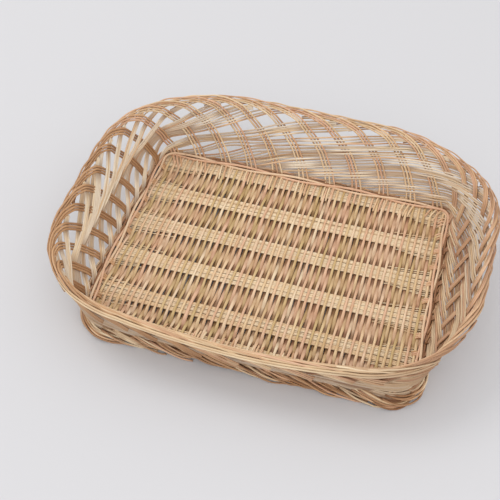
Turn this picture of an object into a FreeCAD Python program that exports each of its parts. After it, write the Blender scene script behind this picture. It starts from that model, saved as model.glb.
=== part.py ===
import FreeCAD, Part
import math
import os

from FreeCAD import Vector

# Wicker pet bed basket.
# Origin: centre of the rim's outline, on the surface that the basket stands on.
# +X is the long side, +Y points at the back, +Z is up.  Millimetres.

# Base
BASE_WIDTH = 474.0
BASE_DEPTH = 371.0
BASE_CORNER = 34.0
BASE_MIDDLE_Z = 12.0

# Rim, measured over the rolled border
RIM_WIDTH = 600.0
BACK_FLARE = 62.0
FRONT_FLARE = 36.0
RIM_CORNER_BACK = 178.0
RIM_CORNER_FRONT = 152.0
SIDE_HEIGHT = 124.0
BACK_HEIGHT = 112.0
FRONT_HEIGHT = 79.0
FRONT_RISE_LENGTH = 280.0
BACK_FALL_LENGTH = 120.0
WALL_BULGE = 0.05

# Base weave: rods from front to back, bands of rods from side to side
WARP_COUNT = 100
WARP_PITCH = 4.6
WARP_WIDTH = 3.0
WARP_THICK = 2.6
WARP_CLEAR = 0.1
BAND_COUNT = 6
BAND_SPACING = 72.0
BAND_RODS = 9
BAND_ROD_PITCH = 2.85
BAND_ROD_RADIUS = 1.35
BAND_END_INSET = 2.0
BACK_BAND_INSET = 15.0
FRONT_BAND_INSET = 15.0
BAND_HOLD = 13.0
END_WEFT_LENGTH = 58.0
END_WEFT_INSET = 6.0
END_WEFT_RADIUS = 0.75
END_WEFT_OFFSETS = (15.2, 18.4)

# Wall lattice; leans and the reach of a corner are counted in steps from one stake to the next
STAKE_COUNT = 43
CORNER_REACH = 1.6
STAKE_WIDTH = 10.0
STAKE_THICK = 2.5
STAKE_LEAN = 1.5
COUNTER_WIDTH = 7.0
COUNTER_THICK = 2.2
COUNTER_LEAN = 2.5
WEAVE_DEPTH = 1.6
WEAVE_ROWS = 4
CROSSING_HALF = 0.07
WALL_TOP = 0.95

# Rolled border: every stake group turns along the rim and lies beside the next ones
BORDER_LANES = 3
LANE_WIDTH = 6.8
BORDER_WIDTH = 4.6
BORDER_BAR = 6.4
BORDER_CROWN = 3.0
BORDER_END_SHARE = 0.97
BORDER_TURN_SPANS = 6

# Rods laid along the outside of the low front, under the border
FRONT_ROLL_RODS = 4
FRONT_ROLL_RADIUS = 2.3
FRONT_ROLL_CLEAR = 0.3
FRONT_ROLL_TOP_RISE = 0.84
FRONT_ROLL_RISE_STEP = 0.115
FRONT_ROLL_REACH = 172.0

# Pair of rods in the fold between base and wall
EDGE_ROD_RADIUS = 2.0
EDGE_ROD_GAP = 0.4
EDGE_ROD_INSET = 6.0

# Plaited foot under the wall
FOOT_HEIGHT = 9.5
FOOT_WIDTH = 9.0
FOOT_OUTSET = 6.0
FOOT_STRANDS = 2
FOOT_STRAND_GAP = 0.4

# Worked out from the dimensions above
RIM_DEPTH = BASE_DEPTH + BACK_FLARE + FRONT_FLARE
BASE_CENTRE_Y = (FRONT_FLARE - BACK_FLARE) / 2
SIDE_NAMES = ("front", "right", "back", "left")
OCTANTS = 8
SLOPE_STEP = 0.01
ROLL_HALF = BORDER_LANES * LANE_WIDTH / 2


class Outline:
    """A rounded rectangle that is walked from its front middle, counter-clockwise from above."""

    def __init__(self, half_width, front_y, back_y, front_radius, back_radius, middle_y):
        self.half_width = half_width
        self.front_y = front_y
        self.back_y = back_y
        self.radii = (front_radius, back_radius)
        self.middle_y = middle_y
        half_turn = math.pi / 4
        front_long = half_width - front_radius + front_radius * half_turn
        front_side = middle_y - front_y - front_radius + front_radius * half_turn
        back_side = back_y - middle_y - back_radius + back_radius * half_turn
        back_long = half_width - back_radius + back_radius * half_turn
        quarter = (front_long, front_side, back_side, back_long)
        self.octants = quarter + quarter[::-1]

    def right_half_point(self, octant, share):
        """Point and outward direction on the half with positive X."""
        radius = self.radii[0] if octant < 2 else self.radii[1]
        length = self.octants[octant]
        walked = share * length
        arc = radius * math.pi / 4
        straight = length - arc
        centre_x = self.half_width - radius
        if octant < 2:
            centre_y = self.front_y + radius
            first_angle = -math.pi / 2
        else:
            centre_y = self.back_y - radius
            first_angle = 0.0
        starts_straight = octant % 2 == 0
        if octant == 0 and walked < straight:
            return Vector(walked, self.front_y, 0), Vector(0, -1, 0)
        if octant == 1 and walked > arc:
            return Vector(self.half_width, centre_y + walked - arc, 0), Vector(1, 0, 0)
        if octant == 2 and walked < straight:
            return Vector(self.half_width, self.middle_y + walked, 0), Vector(1, 0, 0)
        if octant == 3 and walked > arc:
            return Vector(centre_x - (walked - arc), self.back_y, 0), Vector(0, 1, 0)
        if starts_straight:
            angle = first_angle + (walked - straight) / radius
        else:
            angle = first_angle + math.pi / 4 + walked / radius
        outward = Vector(math.cos(angle), math.sin(angle), 0)
        return Vector(centre_x, centre_y, 0) + outward * radius, outward

    def point(self, octant, share):
        if octant < 4:
            return self.right_half_point(octant, share)
        place, outward = self.right_half_point(7 - octant, 1 - share)
        return Vector(-place.x, place.y, 0), Vector(-outward.x, outward.y, 0)


def base_outline(outset):
    half_depth = BASE_DEPTH / 2 + outset
    return Outline(
        BASE_WIDTH / 2 + outset,
        BASE_CENTRE_Y - half_depth,
        BASE_CENTRE_Y + half_depth,
        BASE_CORNER + outset,
        BASE_CORNER + outset,
        BASE_CENTRE_Y,
    )


def rim_outline(outset):
    return Outline(
        RIM_WIDTH / 2 + outset,
        -RIM_DEPTH / 2 - outset,
        RIM_DEPTH / 2 + outset,
        RIM_CORNER_FRONT + outset,
        RIM_CORNER_BACK + outset,
        BASE_CENTRE_Y,
    )


BASE = base_outline(0.0)
RIM_CENTRE = rim_outline(-ROLL_HALF)
STAKE_STEP = OCTANTS / STAKE_COUNT


def octant_share(turn):
    """Split a place round the basket, counted in octants, into a whole octant and a share of it."""
    turn = turn % OCTANTS
    octant = min(int(turn), OCTANTS - 1)
    return octant, turn - octant


def smooth_step(value):
    value = min(max(value, 0.0), 1.0)
    return value * value * (3 - 2 * value)


def rim_height(y):
    """Height of the rim's middle: low at the front, highest along the sides."""
    rise = smooth_step((y + RIM_DEPTH / 2) / FRONT_RISE_LENGTH)
    fall = smooth_step((y - RIM_DEPTH / 2 + BACK_FALL_LENGTH) / BACK_FALL_LENGTH)
    return FRONT_HEIGHT + (SIDE_HEIGHT - FRONT_HEIGHT) * rise - (SIDE_HEIGHT - BACK_HEIGHT) * fall


def rim_point(turn, outset, lift):
    octant, share = octant_share(turn)
    place, outward = RIM_CENTRE.point(octant, share)
    height = rim_height(place.y) - BORDER_BAR
    return place + outward * outset + Vector(0, 0, height + lift)


def wall_point(turn, rise):
    """Point on the wall's middle surface; rise goes from 0 at the base to 1 at the rim."""
    octant, share = octant_share(turn)
    low = BASE.point(octant, share)[0]
    high = rim_point(turn, 0.0, 0.0)
    bulge = WALL_BULGE * math.sin(math.pi * rise)
    out_share = rise + bulge
    up_share = rise - bulge
    height = BASE_MIDDLE_Z + (high.z - BASE_MIDDLE_Z) * up_share
    return Vector(low.x + (high.x - low.x) * out_share, low.y + (high.y - low.y) * out_share, height)


def wall_inward(turn, rise):
    """Direction square to the wall, towards the inside."""
    along = wall_point(turn + SLOPE_STEP, rise) - wall_point(turn - SLOPE_STEP, rise)
    upward = wall_point(turn, rise + SLOPE_STEP) - wall_point(turn, rise - SLOPE_STEP)
    return upward.cross(along).normalize()


def rectangle(centre, across, depth, width, thick):
    side = across * (width / 2)
    face = depth * (thick / 2)
    corners = [centre - side - face, centre + side - face, centre + side + face, centre - side + face]
    return Part.makePolygon(corners + corners[:1])


def bar_along(path, depths, width, thick):
    """A solid strip of rectangular section through the path's points."""
    sections = []
    last = len(path) - 1
    for index, point in enumerate(path):
        ahead = path[min(index + 1, last)] - path[max(index - 1, 0)]
        across = ahead.cross(depths[index]).normalize()
        depth = across.cross(ahead).normalize()
        sections.append(rectangle(point, across, depth, width, thick))
    return Part.makeLoft(sections, True, True)


def weave_levels():
    """Rises at which a strip changes direction: both ends of every crossing."""
    levels = [0.0]
    for row in range(WEAVE_ROWS + 1):
        centre = row / WEAVE_ROWS
        for level in (centre - CROSSING_HALF, centre + CROSSING_HALF):
            if 0.0 < level < WALL_TOP:
                levels.append(level)
    return levels + [WALL_TOP]


def weave_side(rise):
    """+1 where the stakes lie inside, -1 where the counter rods lie inside."""
    row = round(rise * WEAVE_ROWS)
    return 1 if row % 2 == 0 else -1


def lattice_strip(index, lean, width, thick, layer):
    start = (index + 0.5) * STAKE_STEP
    path = []
    depths = []
    for rise in weave_levels():
        turn = start + lean * STAKE_STEP * rise
        inward = wall_inward(turn, rise)
        path.append(wall_point(turn, rise) + inward * (WEAVE_DEPTH * weave_side(rise) * layer))
        depths.append(inward)
    return bar_along(path, depths, width, thick)


def stake_group(index):
    return lattice_strip(index, STAKE_LEAN, STAKE_WIDTH, STAKE_THICK, 1)


def counter_group(index):
    return lattice_strip(index, -COUNTER_LEAN, COUNTER_WIDTH, COUNTER_THICK, -1)


def border_turn(index):
    """The part of a stake group that turns along the rim, from the inner lane to the outer one."""
    start = (index + 0.5 + STAKE_LEAN * WALL_TOP) * STAKE_STEP
    length = BORDER_LANES * STAKE_STEP
    reach = ROLL_HALF - BORDER_WIDTH / 2
    path = []
    depths = []
    for span in range(BORDER_TURN_SPANS + 1):
        share = BORDER_END_SHARE * span / BORDER_TURN_SPANS
        outset = (2 * share - 1) * reach
        crown = BORDER_CROWN * math.sin(math.pi * share)
        path.append(rim_point(start + length * share, outset, crown))
        depths.append(Vector(0, 0, 1))
    return bar_along(path, depths, BORDER_WIDTH, BORDER_BAR)


def straight_rod(start, end, radius):
    way = end - start
    return Part.makeCylinder(radius, way.Length, start, way)


def warp_rod(index):
    """One base rod from front to back, over one band and under the next."""
    x = (index - (WARP_COUNT - 1) / 2) * WARP_PITCH
    swing = WARP_THICK / 2 + BAND_ROD_RADIUS + WARP_CLEAR
    inset = corner_inset(abs(x))
    back = BASE_CENTRE_Y + BASE_DEPTH / 2 - inset
    front = BASE_CENTRE_Y - BASE_DEPTH / 2 + inset
    middle_line = []
    for band in range(BAND_COUNT):
        side = 1 if (index + band) % 2 == 0 else -1
        centre = band_y(band)
        for y in (centre + BAND_HOLD, centre - BAND_HOLD):
            middle_line.append((y, BASE_MIDDLE_Z + side * swing))
    middle_line[0] = (back, middle_line[0][1])
    middle_line[-1] = (front, middle_line[-1][1])
    half = WARP_THICK / 2
    top = [Vector(x - WARP_WIDTH / 2, y, z + half) for y, z in middle_line]
    bottom = [Vector(x - WARP_WIDTH / 2, y, z - half) for y, z in reversed(middle_line)]
    outline = top + bottom
    face = Part.Face(Part.makePolygon(outline + outline[:1]))
    return face.extrude(Vector(WARP_WIDTH, 0, 0))


def corner_inset(x):
    """How far the base's rounded corner takes the edge in at this distance from the middle."""
    over = x + WARP_WIDTH / 2 - (BASE_WIDTH / 2 - BASE_CORNER)
    if over <= 0:
        return 0.0
    return BASE_CORNER - math.sqrt(BASE_CORNER ** 2 - min(over, BASE_CORNER) ** 2)


def band_y(band):
    """Middle of a band: evenly spaced from the back, and the last one close to the front edge."""
    if band == BAND_COUNT - 1:
        return BASE_CENTRE_Y - BASE_DEPTH / 2 + FRONT_BAND_INSET
    return BASE_CENTRE_Y + BASE_DEPTH / 2 - BACK_BAND_INSET - band * BAND_SPACING


def band_rods(band):
    rods = []
    half = BASE_WIDTH / 2 - BAND_END_INSET
    for rod in range(BAND_RODS):
        y = band_y(band) + (rod - (BAND_RODS - 1) / 2) * BAND_ROD_PITCH
        near_edge = BASE_DEPTH / 2 - abs(y - BASE_CENTRE_Y)
        inset = side_inset(near_edge)
        start = Vector(-half + inset, y, BASE_MIDDLE_Z)
        end = Vector(half - inset, y, BASE_MIDDLE_Z)
        rods.append(straight_rod(start, end, BAND_ROD_RADIUS))
    return rods


def side_inset(near_edge):
    if near_edge >= BASE_CORNER:
        return 0.0
    return BASE_CORNER - math.sqrt(BASE_CORNER ** 2 - (BASE_CORNER - near_edge) ** 2)


def end_wefts(side):
    """Thin short rods that pack the base out beside each band at its ends."""
    rods = []
    outer = side * (BASE_WIDTH / 2 - END_WEFT_INSET)
    inner = side * (BASE_WIDTH / 2 - END_WEFT_LENGTH)
    for band in range(1, BAND_COUNT - 1):
        for offset in END_WEFT_OFFSETS:
            for direction in (-1, 1):
                y = band_y(band) + direction * offset
                start = Vector(inner, y, BASE_MIDDLE_Z)
                end = Vector(outer, y, BASE_MIDDLE_Z)
                rods.append(straight_rod(start, end, END_WEFT_RADIUS))
    return rods


def straight_part(side, outset):
    """Ends of the straight stretch of the base outline on one side."""
    half_x = BASE_WIDTH / 2 - BASE_CORNER
    half_y = BASE_DEPTH / 2 - BASE_CORNER
    reach_x = BASE_WIDTH / 2 + outset
    reach_y = BASE_DEPTH / 2 + outset
    ends = {
        "front": (Vector(-half_x, -reach_y, 0), Vector(half_x, -reach_y, 0)),
        "right": (Vector(reach_x, -half_y, 0), Vector(reach_x, half_y, 0)),
        "back": (Vector(half_x, reach_y, 0), Vector(-half_x, reach_y, 0)),
        "left": (Vector(-reach_x, half_y, 0), Vector(-reach_x, -half_y, 0)),
    }
    shift = Vector(0, BASE_CENTRE_Y, 0)
    return [end + shift for end in ends[side]]


def corner_centres():
    half_x = BASE_WIDTH / 2 - BASE_CORNER
    half_y = BASE_DEPTH / 2 - BASE_CORNER
    signs = ((1, -1), (1, 1), (-1, 1), (-1, -1))
    return [Vector(sx * half_x, BASE_CENTRE_Y + sy * half_y, 0) for sx, sy in signs]


def bent_rod(centre, ring_radius, rod_radius, first_degrees):
    """A quarter of a ring, lying flat."""
    ring = Part.makeTorus(ring_radius, rod_radius, centre, Vector(0, 0, 1), 0, 360, 90)
    ring.rotate(centre, Vector(0, 0, 1), first_degrees)
    return ring


def edge_rod_places():
    top_of_weave = BASE_MIDDLE_Z + WARP_THICK + BAND_ROD_RADIUS + WARP_CLEAR
    z = top_of_weave + WARP_CLEAR + EDGE_ROD_RADIUS
    step = 2 * EDGE_ROD_RADIUS + EDGE_ROD_GAP
    return [(-EDGE_ROD_INSET, z), (-EDGE_ROD_INSET - step, z)]


def edge_rods(side):
    rods = []
    for outset, z in edge_rod_places():
        start, end = straight_part(side, outset)
        lift = Vector(0, 0, z)
        rods.append(straight_rod(start + lift, end + lift, EDGE_ROD_RADIUS))
    return rods


def edge_corner_rods():
    rods = []
    for index, centre in enumerate(corner_centres()):
        for outset, z in edge_rod_places():
            middle = centre + Vector(0, 0, z)
            rods.append(bent_rod(middle, BASE_CORNER + outset, EDGE_ROD_RADIUS, -90 + 90 * index))
    return rods


def foot_strand_bounds(strand):
    """Outset range of one strand of the foot."""
    width = (FOOT_WIDTH - FOOT_STRAND_GAP * (FOOT_STRANDS - 1)) / FOOT_STRANDS
    inner = FOOT_OUTSET - FOOT_WIDTH / 2 + strand * (width + FOOT_STRAND_GAP)
    return inner, inner + width


def foot_side(side):
    bars = []
    for strand in range(FOOT_STRANDS):
        inner, outer = foot_strand_bounds(strand)
        near = straight_part(side, inner)
        far = straight_part(side, outer)
        corners = [near[0], near[1], far[1], far[0], near[0]]
        bars.append(Part.Face(Part.makePolygon(corners)).extrude(Vector(0, 0, FOOT_HEIGHT)))
    return bars


def foot_corners():
    bars = []
    for index, centre in enumerate(corner_centres()):
        for strand in range(FOOT_STRANDS):
            inner, outer = foot_strand_bounds(strand)
            whole = Part.makeCylinder(BASE_CORNER + outer, FOOT_HEIGHT, centre, Vector(0, 0, 1), 90)
            hole = Part.makeCylinder(BASE_CORNER + inner, FOOT_HEIGHT, centre, Vector(0, 0, 1), 90)
            bar = whole.cut(hole)
            bar.rotate(centre, Vector(0, 0, 1), -90 + 90 * index)
            bars.append(bar)
    return bars


def front_roll():
    """Straight rods laid on the outside of the low front, under the border."""
    rods = []
    clear = WEAVE_DEPTH + STAKE_THICK / 2 + FRONT_ROLL_RADIUS + FRONT_ROLL_CLEAR
    for rod in range(FRONT_ROLL_RODS):
        rise = FRONT_ROLL_TOP_RISE - rod * FRONT_ROLL_RISE_STEP
        middle = wall_point(0.0, rise) - wall_inward(0.0, rise) * clear
        reach = Vector(FRONT_ROLL_REACH, 0, 0)
        rods.append(straight_rod(middle - reach, middle + reach, FRONT_ROLL_RADIUS))
    return rods


def wall_name(turn):
    """Name of the wall or corner that a place round the basket falls on."""
    octant, share = octant_share(turn)
    to_corner = 1 - share if octant % 2 == 0 else share
    corners = {0: "front_right", 1: "front_right", 2: "back_right", 3: "back_right"}
    corners.update({4: "back_left", 5: "back_left", 6: "front_left", 7: "front_left"})
    if to_corner < CORNER_REACH * STAKE_STEP:
        return corners[octant]
    sides = {7: "front", 0: "front", 1: "right", 2: "right", 3: "back", 4: "back", 5: "left", 6: "left"}
    return sides[octant]


def by_wall(prefix, builder):
    groups = {}
    for index in range(STAKE_COUNT):
        name = prefix + "_" + wall_name((index + 0.5) * STAKE_STEP)
        groups.setdefault(name, []).append(builder(index))
    return groups


def all_nodes():
    nodes = {}
    nodes["base_rods_odd"] = [warp_rod(index) for index in range(0, WARP_COUNT, 2)]
    nodes["base_rods_even"] = [warp_rod(index) for index in range(1, WARP_COUNT, 2)]
    for band in range(BAND_COUNT):
        nodes["base_band_%d" % (band + 1)] = band_rods(band)
    nodes["base_end_wefts_left"] = end_wefts(-1)
    nodes["base_end_wefts_right"] = end_wefts(1)
    for side in SIDE_NAMES:
        nodes["edge_rods_" + side] = edge_rods(side)
        nodes["foot_plait_" + side] = foot_side(side)
    nodes["edge_rods_corners"] = edge_corner_rods()
    nodes["foot_plait_corners"] = foot_corners()
    nodes["front_roll_rods"] = front_roll()
    nodes.update(by_wall("stakes", stake_group))
    nodes.update(by_wall("counter_rods", counter_group))
    nodes.update(by_wall("border", border_turn))
    return nodes


os.makedirs("parts", exist_ok=True)
for node, solids in all_nodes().items():
    shape = solids[0] if len(solids) == 1 else Part.makeCompound(solids)
    if not shape.isValid():
        print("not valid:", node)
    shape.exportStep("parts/" + node + ".step")
    box = shape.BoundBox
    print("%-26s %3d solids  z %.1f to %.1f" % (node, len(solids), box.ZMin, box.ZMax))
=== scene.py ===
"""Wicker pet bed basket: every willow rod is a bent tube that passes over and under its neighbours."""
import math

import bpy
import numpy as np
from mathutils import Matrix, Vector


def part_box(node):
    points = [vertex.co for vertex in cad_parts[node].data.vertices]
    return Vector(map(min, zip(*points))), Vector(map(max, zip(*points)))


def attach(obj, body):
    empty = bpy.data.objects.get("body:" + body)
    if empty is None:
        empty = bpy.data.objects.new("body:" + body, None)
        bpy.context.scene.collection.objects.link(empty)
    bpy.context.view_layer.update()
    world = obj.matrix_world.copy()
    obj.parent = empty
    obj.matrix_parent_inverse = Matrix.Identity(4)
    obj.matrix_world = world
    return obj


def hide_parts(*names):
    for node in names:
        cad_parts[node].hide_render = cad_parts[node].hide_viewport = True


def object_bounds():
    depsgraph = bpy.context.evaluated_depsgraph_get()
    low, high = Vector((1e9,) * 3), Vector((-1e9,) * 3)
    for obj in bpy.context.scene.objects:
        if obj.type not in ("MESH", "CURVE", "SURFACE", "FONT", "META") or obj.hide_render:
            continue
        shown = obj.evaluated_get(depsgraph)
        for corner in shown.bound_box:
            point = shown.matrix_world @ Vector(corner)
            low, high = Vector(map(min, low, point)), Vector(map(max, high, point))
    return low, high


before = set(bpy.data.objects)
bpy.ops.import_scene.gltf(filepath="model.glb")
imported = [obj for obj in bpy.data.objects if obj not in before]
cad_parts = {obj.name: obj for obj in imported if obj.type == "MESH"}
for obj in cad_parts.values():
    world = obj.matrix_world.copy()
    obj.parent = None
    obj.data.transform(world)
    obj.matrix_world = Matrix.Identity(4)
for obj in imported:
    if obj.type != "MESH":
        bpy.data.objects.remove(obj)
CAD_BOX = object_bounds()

MM = 0.001
RNG = np.random.default_rng(7)

# -------- driving dimensions, in millimetres


def node_box(node):
    """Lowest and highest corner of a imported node, in millimetres."""
    low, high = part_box(node)
    return np.array(low) / MM, np.array(high) / MM


FOOT_LOW, FOOT_HIGH = node_box("foot_plait_corners")
BAND_LOW, BAND_HIGH = node_box("base_band_2")
SIDE_TOP = node_box("border_right")[1][2]
BACK_TOP = node_box("border_back_right")[1][2]
FRONT_TOP = node_box("border_front_left")[1][2]
RIM_HALF_WIDTH = (CAD_BOX[1][0] - CAD_BOX[0][0]) / MM / 2
RIM_HALF_DEPTH = (CAD_BOX[1][1] - CAD_BOX[0][1]) / MM / 2

FOOT_OUT = 10.5
BASE_HALF_WIDTH = (FOOT_HIGH[0] - FOOT_LOW[0]) / 2 - FOOT_OUT
BASE_HALF_DEPTH = (FOOT_HIGH[1] - FOOT_LOW[1]) / 2 - FOOT_OUT
BASE_CENTRE_Y = (FOOT_HIGH[1] + FOOT_LOW[1]) / 2
BASE_BACK_Y = BASE_CENTRE_Y + BASE_HALF_DEPTH
BASE_FRONT_Y = BASE_CENTRE_Y - BASE_HALF_DEPTH
BASE_Z = (BAND_LOW[2] + BAND_HIGH[2]) / 2
BASE_CORNER_FRONT = 42.0
BASE_CORNER_BACK = 20.0
BASE_CORNER_LEFT = 58.0

BORDER_HALF = 8.0
RIM_CORNER_FRONT = 152.0
RIM_CORNER_BACK = 178.0
BORDER_HALF_TALL = 5.0
RISE_LENGTH = 280.0
FALL_LENGTH = 120.0
WALL_BULGE = 0.05
FRONT_BOW_REACH = 150.0
FRONT_BOW_DEPTH = 140.0
FRONT_BOW_IN = 7.0
FRONT_BOW_UP = 7.0

STAKE_COUNT = 43
STAKE_RODS = 3
STAKE_RADIUS = 1.5
COUNTER_RODS = 3
COUNTER_RADIUS = 1.38
WEAVE_DEPTH = 1.5

WARP_COUNT = 100
WARP_PITCH = 4.67
WARP_RADIUS = 2.45
WARP_NARROWING = 0.65
WARP_FLAT = 0.6
BAND_COUNT = 6
BAND_SPACING = 72.0
BAND_RODS = 9
BAND_ROD_PITCH = 2.5
BAND_ROD_RADIUS = 1.35
BAND_GROUP_GAP = 0.9
BAND_END_INSET = 15.0

# -------- the shape of base, rim and wall

# Places round the basket are counted in octants, counter-clockwise from above: 0 is the front middle,
# 1 the front right corner, 2 the right, 3 the back right corner, and so on to 8.
OCTANTS = 8
OCTANT_STEPS = 60
ARC_POINTS = 41
STAKE_STEP = OCTANTS / STAKE_COUNT

# The rim isn't quite regular: by place, how far it is shifted to the right, to the back and up.
RIM_SHIFTS = np.array([
    (0, 0, 0, 0),
    (0.8, -3, 3, 0),
    (1.3, -6, 5, 0),
    (1.7, -2, 0, 0),
    (2.3, 2, 0, 0),
    (3.0, -2, -3, -5),
    (3.5, 0, -1, -4),
    (4.2, 0, 0, -2),
    (4.8, 5, -3, -1),
    (5.3, 8, -2, 0),
    (5.8, 9, 0, 0),
    (6.3, 4, 0, 0),
    (6.75, -7, -2, 0),
    (7.1, -8, 0, 0),
    (7.5, -2, 0, 0),
    (8.0, 0, 0, 0),
])
# The base's front left corner is shifted too, over the places from the first to the last.
LEFT_CORNER_PLACES = (6.5, 6.9, 7.1, 7.5)
LEFT_CORNER_SHIFT = (8.0, -3.0)


def smooth_step(value):
    value = np.clip(value, 0.0, 1.0)
    return value * value * (3 - 2 * value)


def half_outline(half_width, front_y, back_y, front_radius, back_radius, middle_y):
    """Right half of a rounded rectangle, front middle to back middle, with its length at five anchors."""
    turn = np.linspace(0, math.pi / 2, ARC_POINTS)
    front_x = half_width - front_radius + front_radius * np.sin(turn)
    front_arc_y = front_y + front_radius - front_radius * np.cos(turn)
    back_x = half_width - back_radius + back_radius * np.cos(turn)
    back_arc_y = back_y - back_radius + back_radius * np.sin(turn)
    x = np.concatenate([[0.0], front_x, [half_width], back_x, [0.0]])
    y = np.concatenate([[front_y], front_arc_y, [middle_y], back_arc_y, [back_y]])
    length = np.concatenate([[0.0], np.cumsum(np.hypot(np.diff(x), np.diff(y)))])
    arc_middle = ARC_POINTS // 2
    anchors = length[[0, 1 + arc_middle, 1 + ARC_POINTS, 2 + ARC_POINTS + arc_middle, -1]]
    return x, y, length, anchors


def sampled_outline(half_width, half_depth, centre_y, front_radius, back_radius):
    """The whole outline from the front middle, with the same number of steps in every octant."""
    x, y, length, anchors = half_outline(
        half_width, centre_y - half_depth, centre_y + half_depth, front_radius, back_radius, BASE_CENTRE_Y
    )
    share = np.arange(OCTANTS // 2 * OCTANT_STEPS + 1) / OCTANT_STEPS
    walked = np.interp(share, np.arange(len(anchors)), anchors)
    right = np.column_stack([np.interp(walked, length, x), np.interp(walked, length, y)])
    left = right[-2:0:-1] * (-1, 1)
    return np.vstack([right, left, right[:1]])


def front_bow(outline):
    """1 towards the front corners, where the rim bows in and up, and 0 at the front middle and the back."""
    sideways = np.clip(np.abs(outline[:, 0]) / FRONT_BOW_REACH, 0.0, 1.0) ** 2
    return sideways * (1 - np.clip((outline[:, 1] + RIM_HALF_DEPTH) / FRONT_BOW_DEPTH, 0.0, 1.0))


def rim_shift(column):
    """One column of the rim's shifts, smoothed, at every step of the outline."""
    around = np.interp(TURNS, RIM_SHIFTS[:, 0], RIM_SHIFTS[:, column])
    kernel = np.hanning(OCTANT_STEPS // 2)
    padded = np.concatenate([around[-OCTANT_STEPS - 1 : -1], around, around[1 : OCTANT_STEPS + 1]])
    return np.convolve(padded, kernel / kernel.sum(), mode="same")[OCTANT_STEPS:-OCTANT_STEPS]


def rim_height(y):
    """Height of the border's middle: low at the front, highest along the sides."""
    rise = smooth_step((y + RIM_HALF_DEPTH) / RISE_LENGTH)
    fall = smooth_step((y - RIM_HALF_DEPTH + FALL_LENGTH) / FALL_LENGTH)
    top = FRONT_TOP + (SIDE_TOP - FRONT_TOP) * rise - (SIDE_TOP - BACK_TOP) * fall
    return top - BORDER_HALF_TALL


BASE_LINE = sampled_outline(
    BASE_HALF_WIDTH, BASE_HALF_DEPTH, BASE_CENTRE_Y, BASE_CORNER_FRONT, BASE_CORNER_BACK
)
TURNS = np.arange(len(BASE_LINE)) / OCTANT_STEPS
LEFT_CORNER = np.interp(TURNS, LEFT_CORNER_PLACES, (0.0, 1.0, 1.0, 0.0))
BASE_LINE = BASE_LINE + LEFT_CORNER[:, None] * LEFT_CORNER_SHIFT
BASE_WALK = np.concatenate([[0.0], np.cumsum(np.hypot(*np.diff(BASE_LINE, axis=0).T))])
GIRTH = BASE_WALK[-1]

REGULAR_RIM = sampled_outline(
    RIM_HALF_WIDTH - BORDER_HALF, RIM_HALF_DEPTH - BORDER_HALF, 0.0, RIM_CORNER_FRONT, RIM_CORNER_BACK
)
BOW = front_bow(REGULAR_RIM)
RIM_LINE = REGULAR_RIM + np.column_stack([rim_shift(1), FRONT_BOW_IN * BOW + rim_shift(2)])
RIM_Z = rim_height(RIM_LINE[:, 1]) + FRONT_BOW_UP * BOW + rim_shift(3)


def at_turn(turn, table):
    """Value of a table at places round the basket."""
    return np.interp(np.mod(turn, OCTANTS), TURNS, table)


def wall(turn, rise):
    """Points on the wall's middle surface; rise is 0 at the base edge and 1 at the rim."""
    share = np.clip(rise, 0.0, 1.0)
    bulge = WALL_BULGE * np.sin(math.pi * share)
    out_share = share + bulge
    up_share = share - bulge
    low = [at_turn(turn, BASE_LINE[:, axis]) for axis in (0, 1)]
    high = [at_turn(turn, RIM_LINE[:, axis]) for axis in (0, 1)]
    x = low[0] + (high[0] - low[0]) * out_share
    y = low[1] + (high[1] - low[1]) * out_share
    z = BASE_Z + (at_turn(turn, RIM_Z) - BASE_Z) * up_share
    return np.column_stack([x, y, z])


def unit(vectors):
    return vectors / np.maximum(np.linalg.norm(vectors, axis=-1, keepdims=True), 1e-9)


TURN_STEP = 0.02
RISE_STEP = 0.03


def inward(turn, rise):
    """Unit normals of the wall, towards the inside of the basket."""
    rise = np.clip(rise, RISE_STEP, 1.0 - RISE_STEP)
    turn = np.asarray(turn, float)
    along = wall(turn + TURN_STEP, rise) - wall(turn - TURN_STEP, rise)
    upward = wall(turn, rise + RISE_STEP) - wall(turn, rise - RISE_STEP)
    return unit(np.cross(upward, along))


def outward_level(turn):
    """Unit directions that point straight out of the basket, level with the ground."""
    normal = -inward(turn, np.full(np.shape(turn), 0.5))
    normal[:, 2] = 0.0
    return unit(normal)


def on_stretch(turn, first, last, fade):
    """1 between two places round the basket, fading to 0 outside."""
    turn = np.mod(turn, OCTANTS)
    return smooth_step((turn - first) / fade + 0.5) * smooth_step((last - turn) / fade + 0.5)


def on_front(turn, fade):
    return 1 - on_stretch(turn, 1.0, 7.0, fade)


def on_right(turn):
    return on_stretch(turn, 1.0, 2.75, 0.5)


def on_left(turn, fade=0.5):
    return on_stretch(turn, 4.95, 7.0, fade)


# -------- rods as tubes

UP = (0.0, 0.0, 1.0)
SEEDS_IN_TURN = 97


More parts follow.
